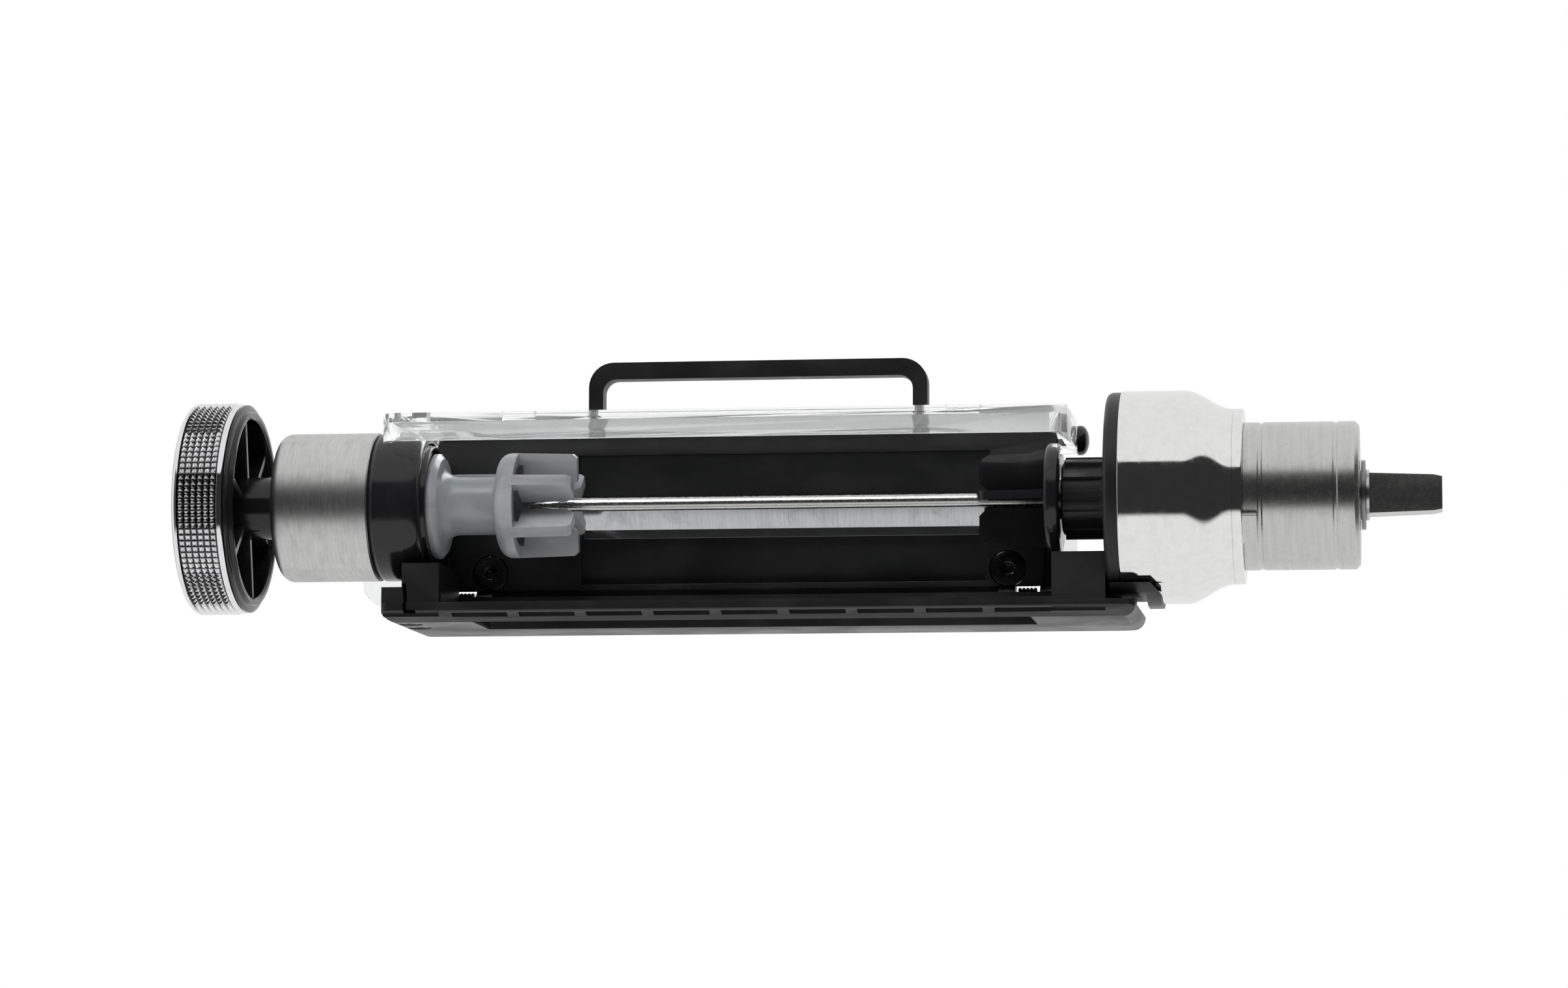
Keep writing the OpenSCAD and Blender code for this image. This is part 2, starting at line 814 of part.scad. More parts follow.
// a torsion spring on a pivot pin, with one leg on the frame and one behind the panel
module torsion_spring(x0) {
    turns = 4.75;
    steps = 76;
    coil_r = 2.75;
    wire_r = 0.45;
    coil = [
        for (i = [0:steps])
            let (a = 360 * turns * i / steps)
            [x0 + 4.4 * i / steps, pivot_y + coil_r * cos(a), pivot_z + coil_r * sin(a)]];
    wire(concat(
        [[x0, pivot_y + coil_r, pivot_z - 3.1]],
        coil,
        [[x0 + 4.4, pivot_y + coil_r + 0.6, pivot_z - coil_r]]), wire_r, 6);
}

module carriage_springs() {
    color("silver") {
        torsion_spring(panel_x[0] + 4.8);
        torsion_spring(panel_x[1] - 9.2);
    }
}

module rear_shield() {
    color("#dfe7ea", 0.35)
        difference() {
            slab_y(shield_y[0], shield_y[1])
                polygon(concat(
                    [[-206.8, -12], [-206.8, -22]],
                    [for (i = [0:8]) [-212 - 7 * sin(11.25 * i), -16 - 6 * cos(11.25 * i)]],
                    arc([-215, 9], 4, 180, 90),
                    arc([-46, 9], 4, 90, 0),
                    arc([-46, -8], 4, 0, -90)));
            for (x = standoff_x)
                translate([x, shield_y[1] + 1, standoff_z])
                    rotate([90, 0, 0])
                        cylinder(h = 4, r = 1.4);
        }
}

module shield_screws() {
    color("silver")
        for (x = standoff_x)
            translate([x, shield_y[1], standoff_z])
                rotate([90, 0, 0])
                    pan_screw(1.25, 7.5, 2.6, 1.5);
}

module hinge_cap(x0, x1, dome) {
    translate([0, hinge_y, hinge_z])
        rotate([0, 90, 0]) {
            translate([0, 0, x0])
                cylinder(h = x1 - x0, r = hinge_r);
            translate([0, 0, dome])
                mirror([0, 0, dome < x0 + 1 ? 1 : 0])
                    rotate_extrude()
                        polygon(concat(
                            [[0, 0], [3.6, 0]],
                            [for (i = [0:6]) [3.6 * cos(15 * i), 0.9 + 1.9 * sin(15 * i)]]));
        }
}

module hinge_caps() {
    color("#1c1c1e") {
        hinge_cap(left_arm_x[0] - 0.2, panel_x[0] + 6.5, left_arm_x[0] - 0.2);
        hinge_cap(panel_x[1] - 6.5, right_arm_x[1] + 0.2, right_arm_x[1] + 0.2);
    }
}

// ---- guard ----

// outline of a guard arm as [y, z], from the tray to its knuckle
module guard_arm(x0, x1) {
    slab_x(x0, x1)
        union() {
            translate([hinge_y, hinge_z])
                circle(r = knuckle_r);
            polygon([
                [guard_y1 - 6, guard_top - guard_t - 0.6], [hinge_y - 3.2, hinge_z],
                [hinge_y, hinge_z], [hinge_y + 1.4, hinge_z + 3],
                [hinge_y - 1, guard_top], [guard_y1 - 6, guard_top]]);
        }
}

module guard_cover() {
    wall = guard_t;
    color("#dfe7ea", 0.35)
        difference() {
            union() {
                difference() {
                    slab_z(guard_top - guard_h, guard_top)
                        polygon(rounded(
                            [guard_x[0], guard_y0], [guard_x[1], guard_y1], [4.5, 4.5, 1, 1]));
                    slab_z(guard_top - guard_h - 1, guard_top - wall)
                        polygon(rounded(
                            [guard_x[0] + wall, guard_y0 + wall],
                            [guard_x[1] - wall, guard_y1 + 5], [3, 3, 0.5, 0.5]));
                }
                guard_arm(left_arm_x[0], left_arm_x[1]);
                guard_arm(right_arm_x[0], right_arm_x[1]);
                for (x = [-176, -68])
                    block([x - 4, guard_y1 - 1, guard_top - 1.5], [x + 4, guard_y1 + 2.8, guard_top]);
            }
            along_x(-220, -190, 19.2);
            translate([0, hinge_y, hinge_z])
                along_x(-220, 0, hinge_r + run_fit);
            for (x = handle_screw_x)
                translate([x, handle_y, 0])
                    cylinder(h = 40, r = 1.2);
        }
}

module handle() {
    top = guard_top + handle_h;
    x0 = handle_mid - handle_w / 2;
    x1 = handle_mid + handle_w / 2;
    color("#1c1c1e")
        difference() {
            slab_y(handle_y - handle_depth / 2, handle_y + handle_depth / 2)
                difference() {
                    polygon(rounded([x0, guard_top], [x1, top], [0.3, 0.3, 6, 6]));
                    polygon(rounded(
                        [x0 + handle_leg, guard_top - 1], [x1 - handle_leg, top - handle_bar],
                        [0, 0, 3.2, 3.2]));
                }
            for (x = handle_screw_x)
                translate([x, handle_y, guard_top - 1])
                    cylinder(h = 5, r = 0.95);
        }
}

module handle_screws() {
    color("silver")
        for (x = handle_screw_x)
            translate([x, handle_y, guard_top - guard_t])
                pan_screw(0.95, 5, 2, 1.2);
}

hub_housing();
hub_shank();
locating_key();
end_plate();
front_bush();
rear_bush();
housing_screws();
lower_frame();
frame_screws();
collar();
barrel();
barrel_bush();
plunger_spring();
carriage_springs();
drive_shaft();
drive_prong();
prong_pin();
skewer();
thrust_washer();
retaining_clip();
plunger_rod();
knob_rim();
knob_core();
knob_cap();
knob_screw();
holder_clip();
food_holder();
carriage_panel();
blade_carrier();
blade();
blade_screws();
pivot_pins();
rear_shield();
shield_screws();
hinge_caps();
guard_cover();
handle();
handle_screws();
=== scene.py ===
import json
import math

import bmesh
import bpy
from mathutils import Matrix, Vector


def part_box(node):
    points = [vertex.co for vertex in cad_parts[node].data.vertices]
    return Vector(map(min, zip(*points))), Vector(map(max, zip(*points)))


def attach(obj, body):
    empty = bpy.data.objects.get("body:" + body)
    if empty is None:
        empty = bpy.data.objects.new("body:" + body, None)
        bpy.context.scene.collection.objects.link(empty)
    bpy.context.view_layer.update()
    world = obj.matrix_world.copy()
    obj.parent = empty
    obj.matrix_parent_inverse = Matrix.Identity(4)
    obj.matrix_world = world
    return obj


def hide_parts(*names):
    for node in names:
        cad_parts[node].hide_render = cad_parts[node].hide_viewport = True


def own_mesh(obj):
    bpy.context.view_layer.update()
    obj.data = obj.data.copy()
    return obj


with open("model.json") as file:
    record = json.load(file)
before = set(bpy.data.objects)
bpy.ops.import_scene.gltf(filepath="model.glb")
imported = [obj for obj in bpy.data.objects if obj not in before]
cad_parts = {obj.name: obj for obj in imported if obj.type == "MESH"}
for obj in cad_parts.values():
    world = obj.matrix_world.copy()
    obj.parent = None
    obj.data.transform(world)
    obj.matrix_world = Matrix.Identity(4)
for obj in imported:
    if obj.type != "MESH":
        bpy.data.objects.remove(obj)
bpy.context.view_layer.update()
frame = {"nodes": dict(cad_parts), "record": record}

nodes = frame["nodes"]
mm = 0.001
unscaled = 1000  # a noise size that leaves the scale of its coordinates alone


class Wire:
    # a node's socket that can stand in a plain sum: 1 - mask or mask * 0.3 + 0.2 adds Math nodes

    def __init__(self, tree, socket):
        self.tree, self.socket = tree, socket

    def maths(self, operation, first, second=None):
        return add(self.tree, "ShaderNodeMath", {"operation": operation}, {0: first, 1: second})

    def __add__(self, other):
        return self.maths("ADD", self, other)

    def __sub__(self, other):
        return self.maths("SUBTRACT", self, other)

    def __mul__(self, other):
        return self.maths("MULTIPLY", self, other)

    def __rsub__(self, other):
        return self.maths("SUBTRACT", other, self)

    def __pow__(self, other):
        return self.maths("POWER", self, other)

    def between(self, low, high):
        # 0 up to low and 1 from high, with a smooth step between them
        return add(self.tree, "ShaderNodeMapRange", {"clamp": True, "interpolation_type": "SMOOTHSTEP"},
                   {0: self, 1: low, 2: high})

    __radd__ = __add__
    __rmul__ = __mul__


def add(tree, kind, settings=None, inputs=None, out=0):
    # makes one node: its settings first, then its sockets' values or links; returns one of its outputs
    node = tree.nodes.new(kind)
    for key, value in (settings or {}).items():
        setattr(node, key, value)
    for key, value in (inputs or {}).items():
        if value is None:
            continue
        if isinstance(value, Wire):
            tree.links.new(value.socket, node.inputs[key])
        elif isinstance(value, (tuple, list)) and node.inputs[key].type == "RGBA" and len(value) == 3:
            node.inputs[key].default_value = (*value, 1)
        else:
            node.inputs[key].default_value = value
    return Wire(tree, node.outputs[out]) if len(node.outputs) else None


class Finish:
    # one material: textures in metres of the object's own frame, and a Principled shader at the end

    def __init__(self, name):
        self.material = bpy.data.materials.new(name)
        self.material.use_nodes = True
        self.tree = self.material.node_tree
        self.tree.nodes.clear()
        self.place = self.add("ShaderNodeTexCoord", out=3)
        split = self.add("ShaderNodeSeparateXYZ", inputs={0: self.place})
        self.x, self.y, self.z = (Wire(self.tree, split.socket.node.outputs[i]) for i in range(3))

    def add(self, kind, settings=None, inputs=None, out=0):
        return add(self.tree, kind, settings, inputs, out)

    def noise(self, size, detail, rough, at=None, warp=0.0):
        # cloudy noise whose blotches are about size millimetres across
        return self.add("ShaderNodeTexNoise", inputs={
            "Vector": at or self.place, "Scale": 1 / (size * mm), "Detail": detail,
            "Roughness": rough, "Distortion": warp})

    def stretched(self, x, y, z):
        # the place with each axis stretched, for brush marks and drawn lines
        return self.add("ShaderNodeVectorMath", {"operation": "MULTIPLY"}, {0: self.place, 1: (x, y, z)})

    def turning(self, alongX, aroundX):
        # coordinates that wrap round the drive axis, for lathe marks
        angle = self.x.maths("ARCTAN2", self.z, self.y)
        up = self.x.maths("SINE", angle) * aroundX
        side = self.x.maths("COSINE", angle) * aroundX
        return self.add("ShaderNodeCombineXYZ", inputs={0: self.x * alongX, 1: up, 2: side})

    def mix(self, amount, first, second):
        return self.add("ShaderNodeMix", {"data_type": "RGBA"}, {0: amount, 6: first, 7: second}, 2)

    def bump(self, height, strength, distance=0.1):
        return self.add("ShaderNodeBump", inputs={
            "Strength": strength, "Distance": distance * mm, "Height": height})

    def finish(self, color, roughness, normal=None, metallic=0.0, **fixed):
        inputs = {"Base Color": color, "Roughness": roughness, "Metallic": metallic, "Normal": normal}
        inputs.update({key.replace("_", " "): value for key, value in fixed.items()})
        shader = self.add("ShaderNodeBsdfPrincipled", inputs=inputs)
        self.add("ShaderNodeOutputMaterial", inputs={0: shader})
        return self.material


# how each finish looks; sizes and the chrome's root radii are millimetres
alloyLook = {"tint": (0.86, 0.86, 0.85), "shade": (0.74, 0.74, 0.735), "gloss": 0.055, "haze": 0.06,
             "ripple": 14}
stainlessLook = {"tint": (0.66, 0.66, 0.655), "shade": (0.52, 0.52, 0.515), "gloss": 0.38, "lines": 2600}
# the chrome's root colour is painted shade for the grooves between the knob's pyramids
chromeLook = {"tint": (0.85, 0.85, 0.86), "shade": (0.72, 0.72, 0.73), "root": (0.05, 0.05, 0.052),
              "rootLow": 24.5, "rootHigh": 25.22, "gloss": 0.05, "haze": 0.07}
bladeLook = {"tint": (0.55, 0.56, 0.57), "shade": (0.40, 0.41, 0.42), "gloss": 0.16, "grind": 5200}
steelLook = {"tint": (0.62, 0.62, 0.61), "shade": (0.46, 0.46, 0.45), "gloss": 0.24}
springLook = {"tint": (0.30, 0.30, 0.31), "shade": (0.20, 0.20, 0.20), "gloss": 0.30}
oxideLook = {"tint": (0.075, 0.075, 0.078), "shade": (0.045, 0.045, 0.047), "gloss": 0.24}
bronzeLook = {"tint": (0.55, 0.36, 0.16), "shade": (0.38, 0.24, 0.10), "gloss": 0.34}
blackLook = {"tint": (0.0085, 0.0085, 0.0092), "shade": (0.0160, 0.0160, 0.0172), "gloss": 0.33,
             "grain": 0.28}
glossLook = {"tint": (0.0065, 0.0065, 0.0075), "shade": (0.0115, 0.0115, 0.0125), "gloss": 0.15}
greyLook = {"tint": (0.270, 0.285, 0.295), "shade": (0.215, 0.228, 0.238), "gloss": 0.30, "grain": 0.35}
clearLook = {"tint": (0.975, 0.980, 0.982), "shade": (0.950, 0.958, 0.960), "gloss": 0.02}
acetalLook = {"tint": (0.80, 0.79, 0.75), "shade": (0.70, 0.69, 0.65), "gloss": 0.38}


def polishedAlloy(look):
    # buffed casting: soft waves, a faint haze of handling and tiny scratches
    f = Finish("polishedAlloy")
    wave = f.noise(look["ripple"], 3, 0.45)
    haze = f.noise(2.4, 6, 0.62, warp=0.4)
    scratch = f.noise(0.5, 2, 0.6, at=f.stretched(0.06, 1, 1))
    marks = scratch.between(0.60, 0.72)
    color = f.mix(haze.between(0.42, 0.66) * 0.35 + marks * 0.12, look["tint"], look["shade"])
    rough = haze.between(0.35, 0.72) * look["haze"] + marks * 0.06 + look["gloss"]
    normal = f.bump(wave * 0.9 + scratch * 0.010, 0.30, 0.16)
    return f.finish(color, rough, normal, 1.0)


def brushedStainless(look):
    # lathe-brushed tube: fine rings round the drive axis over slow mottling
    f = Finish("brushedStainless")
    rings = f.noise(unscaled, 2, 0.7, at=f.turning(look["lines"], 2.2))
    broad = f.noise(unscaled, 2, 0.5, at=f.turning(1700, 3.0))
    mottle = f.noise(3.2, 5, 0.6)
    streak = rings.between(0.30, 0.72) * 0.55 + mottle.between(0.45, 0.7) * 0.3
    color = f.mix(streak, look["tint"], look["shade"])
    rough = rings * 0.20 + broad * 0.10 + mottle.between(0.4, 0.8) * 0.06 + (look["gloss"] - 0.12)
    normal = f.bump(rings + broad * 0.5, 0.30, 0.02)
    return f.finish(color, rough, normal, 1.0, Anisotropic=0.35)


def brightChrome(look):
    # plated chrome with a light bloom of fingerprints, and painted shade at the roots of the knob's
    # pattern
    f = Finish("brightChrome")
    bloom = f.noise(3.5, 5, 0.6, warp=0.6)
    wave = f.noise(4.5, 2, 0.4)
    radius = (f.y * f.y + f.z * f.z) ** 0.5 * (1 / mm)
    outside = radius.between(look["rootLow"], look["rootLow"] + 0.1)
    raised = radius.between(look["rootHigh"] - 0.5, look["rootHigh"])
    unshadedChrome = f.mix(bloom.between(0.45, 0.7) * 0.4, look["tint"], look["shade"])
    # painted shade: the dark root colour darkens the knob's grooves between its pyramids, where shade
    # falls
    color = f.mix(outside * (1 - raised), unshadedChrome, look["root"])
    rough = bloom.between(0.4, 0.75) * look["haze"] + look["gloss"]
    return f.finish(color, rough, f.bump(wave, 0.12, 0.08), 1.0)


def bladeSteel(look):
    # ground blade: straight grinding marks across its length, a little staining
    f = Finish("bladeSteel")
    grind = f.noise(unscaled, 3, 0.7, at=f.stretched(look["grind"], 90, 90))
    stain = f.noise(6, 5, 0.6, warp=0.8)
    worn = grind.between(0.35, 0.7) * 0.4 + stain.between(0.5, 0.7) * 0.35
    color = f.mix(worn, look["tint"], look["shade"])
    rough = grind * 0.16 + stain.between(0.45, 0.75) * 0.08 + (look["gloss"] - 0.08)
    return f.finish(color, rough, f.bump(grind, 0.22, 0.015), 1.0)


def machinedSteel(look, name="machinedSteel"):
    # turned steel: rings round the drive axis and small specks
    f = Finish(name)
    rings = f.noise(unscaled, 2, 0.6, at=f.turning(900, 1.2))
    speck = f.noise(1.4, 3, 0.6)
    worn = rings.between(0.35, 0.7) * 0.3 + speck.between(0.5, 0.8) * 0.25
    color = f.mix(worn, look["tint"], look["shade"])
    rough = rings * 0.05 + speck.between(0.4, 0.8) * 0.06 + look["gloss"]
    return f.finish(color, rough, f.bump(rings, 0.04, 0.004), 1.0)


def blackMoulding(look):
    # black nylon with a fine even grain, rubbed smoother in places, and a trace of dust
    f = Finish("blackMoulding")
    grain = f.noise(look["grain"], 3, 0.6)
    cells = f.add("ShaderNodeTexVoronoi", {"feature": "F1"}, {"Vector": f.place, "Scale": 2400})
    rub = f.noise(14, 4, 0.55, warp=0.5)
    dust = f.noise(0.9, 5, 0.7).between(0.66, 0.78)
    color = f.mix(rub.between(0.4, 0.7) * 0.6 + dust * 0.4, look["tint"], look["shade"])
    rough = grain * 0.14 + rub.between(0.35, 0.7) * 0.10 + (look["gloss"] - 0.06)
    return f.finish(color, rough, f.bump(grain + cells * 0.6, 0.16, 0.03), 0.0, IOR=1.42)


def glossBlack(look):
    # polished black plastic: slight orange peel, hairline scuffs
    f = Finish("glossBlack")
    peel = f.noise(2.2, 2, 0.4)
    scuff = f.noise(0.5, 3, 0.65, at=f.stretched(0.25, 1, 1)).between(0.62, 0.74)
    smear = f.noise(7, 4, 0.55, warp=0.7)
    color = f.mix(smear.between(0.4, 0.7) * 0.5 + scuff * 0.3, look["tint"], look["shade"])
    rough = smear.between(0.4, 0.75) * 0.09 + scuff * 0.12 + look["gloss"]
    return f.finish(color, rough, f.bump(peel, 0.10, 0.12), 0.0, IOR=1.44,
                    Coat_Weight=0.1, Coat_Roughness=0.06)


def greyMoulding(look):
    # grey acetal that lets a little light in, with flow marks and a satin skin
    f = Finish("greyMoulding")
    grain = f.noise(look["grain"], 3, 0.6)
    flow = f.noise(9, 3, 0.5, at=f.stretched(0.35, 1, 1), warp=1.2)
    color = f.mix(flow.between(0.38, 0.68), look["tint"], look["shade"])
    rough = grain * 0.10 + flow * 0.08 + (look["gloss"] - 0.08)
    return f.finish(color, rough, f.bump(grain, 0.12, 0.03), 0.0, IOR=1.48,
                    Subsurface_Weight=0.18, Subsurface_Scale=0.004)


def clearPlastic(look):
    # clear polycarbonate: cold tint, faint moulding waves, rubbed haze
    f = Finish("clearPlastic")
    haze = f.noise(5, 5, 0.6, warp=0.8)
    wave = f.noise(16, 2, 0.4)
    rub = f.noise(0.45, 3, 0.6, at=f.stretched(0.15, 1, 1)).between(0.62, 0.76)
    color = f.mix(haze.between(0.4, 0.75), look["tint"], look["shade"])
    rough = haze.between(0.45, 0.8) * 0.05 + rub * 0.05 + look["gloss"]
    return f.finish(color, rough, f.bump(wave, 0.03, 0.10), 0.0, IOR=1.34, Transmission_Weight=0.90)


def whiteAcetal(look):
    # white bearing plastic with a faint speckle
    f = Finish("whiteAcetal")
    speck = f.noise(1.2, 4, 0.6)
    color = f.mix(speck.between(0.4, 0.7), look["tint"], look["shade"])
    return f.finish(color, speck * 0.12 + look["gloss"], f.bump(speck, 0.1, 0.03), 0.0)


finishes = {
    "polished_alloy": polishedAlloy(alloyLook),
    "brushed_stainless": brushedStainless(stainlessLook),
    "bright_chrome": brightChrome(chromeLook),
    "blade_steel": bladeSteel(bladeLook),
    "machined_steel": machinedSteel(steelLook),
    "spring_steel": machinedSteel(springLook, "springSteel"),
    "blackened_steel": machinedSteel(oxideLook, "blackenedSteel"),
    "bearing_bronze": machinedSteel(bronzeLook, "bearingBronze"),
    "black_moulding": blackMoulding(blackLook),
    "gloss_black": glossBlack(glossLook),
    "grey_moulding": greyMoulding(greyLook),
    "clear_plastic": clearPlastic(clearLook),
    "white_acetal": whiteAcetal(acetalLook),
}
slotOf = {part["node"]: part["material_slot"] for part in frame["record"]["subparts"]}
bodyOf = {n: b for b, members in frame["record"]["behaviour"]["bodies"].items() for n in members}
print("finishes ready:", len(finishes))

for name, held in nodes.items():
    held.data.materials.clear()
    held.data.materials.append(finishes[slotOf[name]])


def place(name, mesh, node, angle=32):
    # turns a mesh into the shown piece for one CAD node
    held = bpy.data.objects.new(name, mesh)
    bpy.context.scene.collection.objects.link(held)
    mesh.materials.clear()
    mesh.materials.append(finishes[slotOf[node]])
    mesh.shade_smooth()
    mesh.set_sharp_from_angle(angle=math.radians(angle))
    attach(held, bodyOf[node])
    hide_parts(node)
    return held


def evaluated(held):
    # the object's mesh with its modifiers applied, and the object gone
    graph = bpy.context.evaluated_depsgraph_get()
    mesh = bpy.data.meshes.new_from_object(held.evaluated_get(graph))
    bpy.data.objects.remove(held)
    return mesh


# which edges the bevel rounds, and which triangle edges go first (degrees), and the weld (millimetres)
rounding = {"angle": 30, "flat": 0.7, "weld": 0.003}


def softened(node, width, segments):
    # the CAD node's shape with its edges rounded by width millimetres
    mesh = nodes[node].data.copy()
    mesh.materials.clear()
    work = bmesh.new()
    work.from_mesh(mesh)
    bmesh.ops.remove_doubles(work, verts=work.verts, dist=rounding["weld"] * mm)
    bmesh.ops.dissolve_limit(
        work, angle_limit=math.radians(rounding["flat"]), verts=work.verts, edges=work.edges)
    work.to_mesh(mesh)
    work.free()
    held = bpy.data.objects.new("work", mesh)
    bpy.context.scene.collection.objects.link(held)
    bevel = held.modifiers.new("edges", "BEVEL")
    bevel.width = width * mm
    bevel.segments = segments
    bevel.limit_method = "ANGLE"
    bevel.angle_limit = math.radians(rounding["angle"])
    bevel.miter_outer = "MITER_ARC"
    bevel.use_clamp_overlap = True
    return evaluated(held)


def filleted(corners, steps=6):
    # a line through corners (x, r, radius) in millimetres, with each corner rounded by its radius
    line = []
    for i, (x, r, radius) in enumerate(corners):
        here = Vector((x, r))
        if radius <= 0 or i in (0, len(corners) - 1):
            line.append(here)
            continue
        back = (Vector(corners[i - 1][:2]) - here)
        ahead = (Vector(corners[i + 1][:2]) - here)
        half = back.angle(ahead) / 2
        reach = min(radius / math.tan(half), back.length * 0.49, ahead.length * 0.49)
        start, end = here + back.normalized() * reach, here + ahead.normalized() * reach
        for k in range(steps + 1):
            t = k / steps
            line.append((1 - t) ** 2 * start + 2 * t * (1 - t) * here + t ** 2 * end)
    return line


def lathe(name, line, around=192):
    # a mesh turned about the drive axis from a closed section of points (x, r) in millimetres
    work = bmesh.new()
    rings = []
    for x, r in line:
        rings.append([
            work.verts.new((x * mm, r * mm * math.cos(a), r * mm * math.sin(a)))
            for a in (2 * math.pi * k / around for k in range(around))])
    for lower, upper in zip(rings, rings[1:] + rings[:1]):
        for k in range(around):
            n = (k + 1) % around
            work.faces.new((lower[k], upper[k], upper[n], lower[n]))
    bmesh.ops.remove_doubles(work, verts=work.verts, dist=0.0005 * mm)
    bmesh.ops.recalc_face_normals(work, faces=work.faces)
    mesh = bpy.data.meshes.new(name)
    work.to_mesh(mesh)
    work.free()
    return mesh


def tube(name, points, radius, sides=16):
    # a round wire through points in metres, with closed ends
    work = bmesh.new()
    rings = []
    up = None
    for i, here in enumerate(points):
        ahead = (points[min(i + 1, len(points) - 1)] - points[max(i - 1, 0)]).normalized()
        if up is None:
            up = ahead.orthogonal().normalized()
        up = (up - ahead * up.dot(ahead)).normalized()
        side = ahead.cross(up)
        rings.append([
            work.verts.new(here + radius * (math.cos(a) * up + math.sin(a) * side))
            for a in (2 * math.pi * k / sides for k in range(sides))])
    for lower, upper in zip(rings, rings[1:]):
        for k in range(sides):
            n = (k + 1) % sides
            work.faces.new((lower[k], lower[n], upper[n], upper[k]))
    work.faces.new(reversed(rings[0]))
    work.faces.new(rings[-1])
    bmesh.ops.recalc_face_normals(work, faces=work.faces)
    mesh = bpy.data.meshes.new(name)
    work.to_mesh(mesh)
    work.free()
    return mesh


def joined(name, meshes):
    # several meshes as one
    work = bmesh.new()
    for mesh in meshes:
        work.from_mesh(mesh)
    mesh = bpy.data.meshes.new(name)
    work.to_mesh(mesh)
    work.free()
    return mesh


def spanX(node):
    # the CAD node's left and right ends in millimetres
    low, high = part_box(node)
    return low.x / mm, high.x / mm


# hub housing: an S-shaped shoulder, with a notch at its lower left for the end plate's lip
housing = {"radius": 25.3, "neck": 20.8, "wall": 2.4, "shoulderStart": 14.8, "shoulderLength": 11.5,
           "edge": 0.5, "edgeStep": 0.9, "groove": 2.45, "grooveDepth": 0.18, "bore": 15.05, "back": 5.0,
           "notchTop": -21.3, "notchLength": 9.5, "notchRound": 2.5}


def hubHousing(h):
    left, right = spanX("hub_housing")
    outside = [(left, h["radius"] - h["edgeStep"], 0), (left, h["radius"], h["edge"])]
    start = left + h["shoulderStart"]
    outside.append((start, h["radius"], 0))
    for i in range(1, 33):
        t = i / 32
        sink = (h["radius"] - h["neck"]) * (1 - math.cos(math.pi * t)) / 2
        outside.append((start + h["shoulderLength"] * t, h["radius"] - sink, 0))
    groove, back = right - h["groove"], right - h["back"]
    outside += [(groove - 0.15, h["neck"], 0), (groove, h["neck"] - h["grooveDepth"], 0.05),
                (groove + 0.15, h["neck"], 0)]
    outside += [(right, h["neck"], 0.45), (right, h["bore"], 0.2), (back, h["bore"], 0),
                (back, h["neck"] - h["wall"], 0.5)]
    inside = []
    for i in range(17):
        t = i / 16
        sink = (h["radius"] - h["neck"]) * (1 + math.cos(math.pi * t)) / 2
        x = start + h["shoulderLength"] * (1 - t)
        if x < back:
            inside.append((x, h["radius"] - h["wall"] - sink, 0))
    outside += inside + [(left, h["radius"] - h["wall"], 0.3)]
    mesh = lathe("hubHousing", filleted(outside), 256)
    held = bpy.data.objects.new("work", mesh)
    bpy.context.scene.collection.objects.link(held)
    top, length, bend = h["notchTop"], h["notchLength"], h["notchRound"]
    reach = 40  # the cutter stands clear of the housing on every open side
    outline = [(left - 2, -reach), (left - 2, top)]
    outline += [(left + length - bend + bend * math.sin(a), top - bend + bend * math.cos(a))
                for a in (math.pi / 2 * k / 12 for k in range(13))]
    outline.append((left + length, -reach))
    work = bmesh.new()
    front = [work.verts.new((x * mm, -reach * mm, z * mm)) for x, z in outline]
    rear = [work.verts.new((x * mm, reach * mm, z * mm)) for x, z in outline]
    for k in range(len(outline)):
        n = (k + 1) % len(outline)
        work.faces.new((front[k], front[n], rear[n], rear[k]))
    work.faces.new(front)
    work.faces.new(rear)
    bmesh.ops.recalc_face_normals(work, faces=work.faces)
    cutterMesh = bpy.data.meshes.new("cutter")
    work.to_mesh(cutterMesh)
    work.free()
    cutter = bpy.data.objects.new("cutter", cutterMesh)
    bpy.context.scene.collection.objects.link(cutter)
    cut = held.modifiers.new("notch", "BOOLEAN")
    cut.object = cutter
    cut.solver = "EXACT"
    mesh = evaluated(held)
    bpy.data.objects.remove(cutter)
    return place("hubHousing", mesh, "hub_housing", angle=40)


hubHousing(housing)

# shank: turned tube with a chamfered nose and shallow turning grooves
shank = {"bore": 8.5, "root": 15.0, "nose": 1.0, "groove": 0.25, "grooves": (4.0, 21.5)}


def hubShank(s):
    left, right = spanX("hub_shank")
    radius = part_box("hub_shank")[1].z / mm
    line = [(left, s["bore"], 0), (left, s["root"], 0.4), (0, s["root"], 0), (0, radius, 0.2)]
    for x in s["grooves"]:
        line += [(x - 0.6, radius, 0.1), (x - 0.3, radius - s["groove"], 0.1),
                 (x + 0.3, radius - s["groove"], 0.1), (x + 0.6, radius, 0.1)]
    line += [(right - s["nose"], radius, 0.3), (right, radius - s["nose"], 0.3),
             (right, s["bore"], 0.3)]
    return place("hubShank", lathe("hubShank", filleted(line)), "hub_shank")


hubShank(shank)

# barrel: brushed tube with a soft left shoulder, and a spigot that the collar holds
barrelSizes = {"shoulder": 2.6, "wallEnd": 2.4, "bore": 8.5, "inside": 14.2, "spigot": 16.0,
               "spigotLength": 6.0, "chamfer": 0.35}


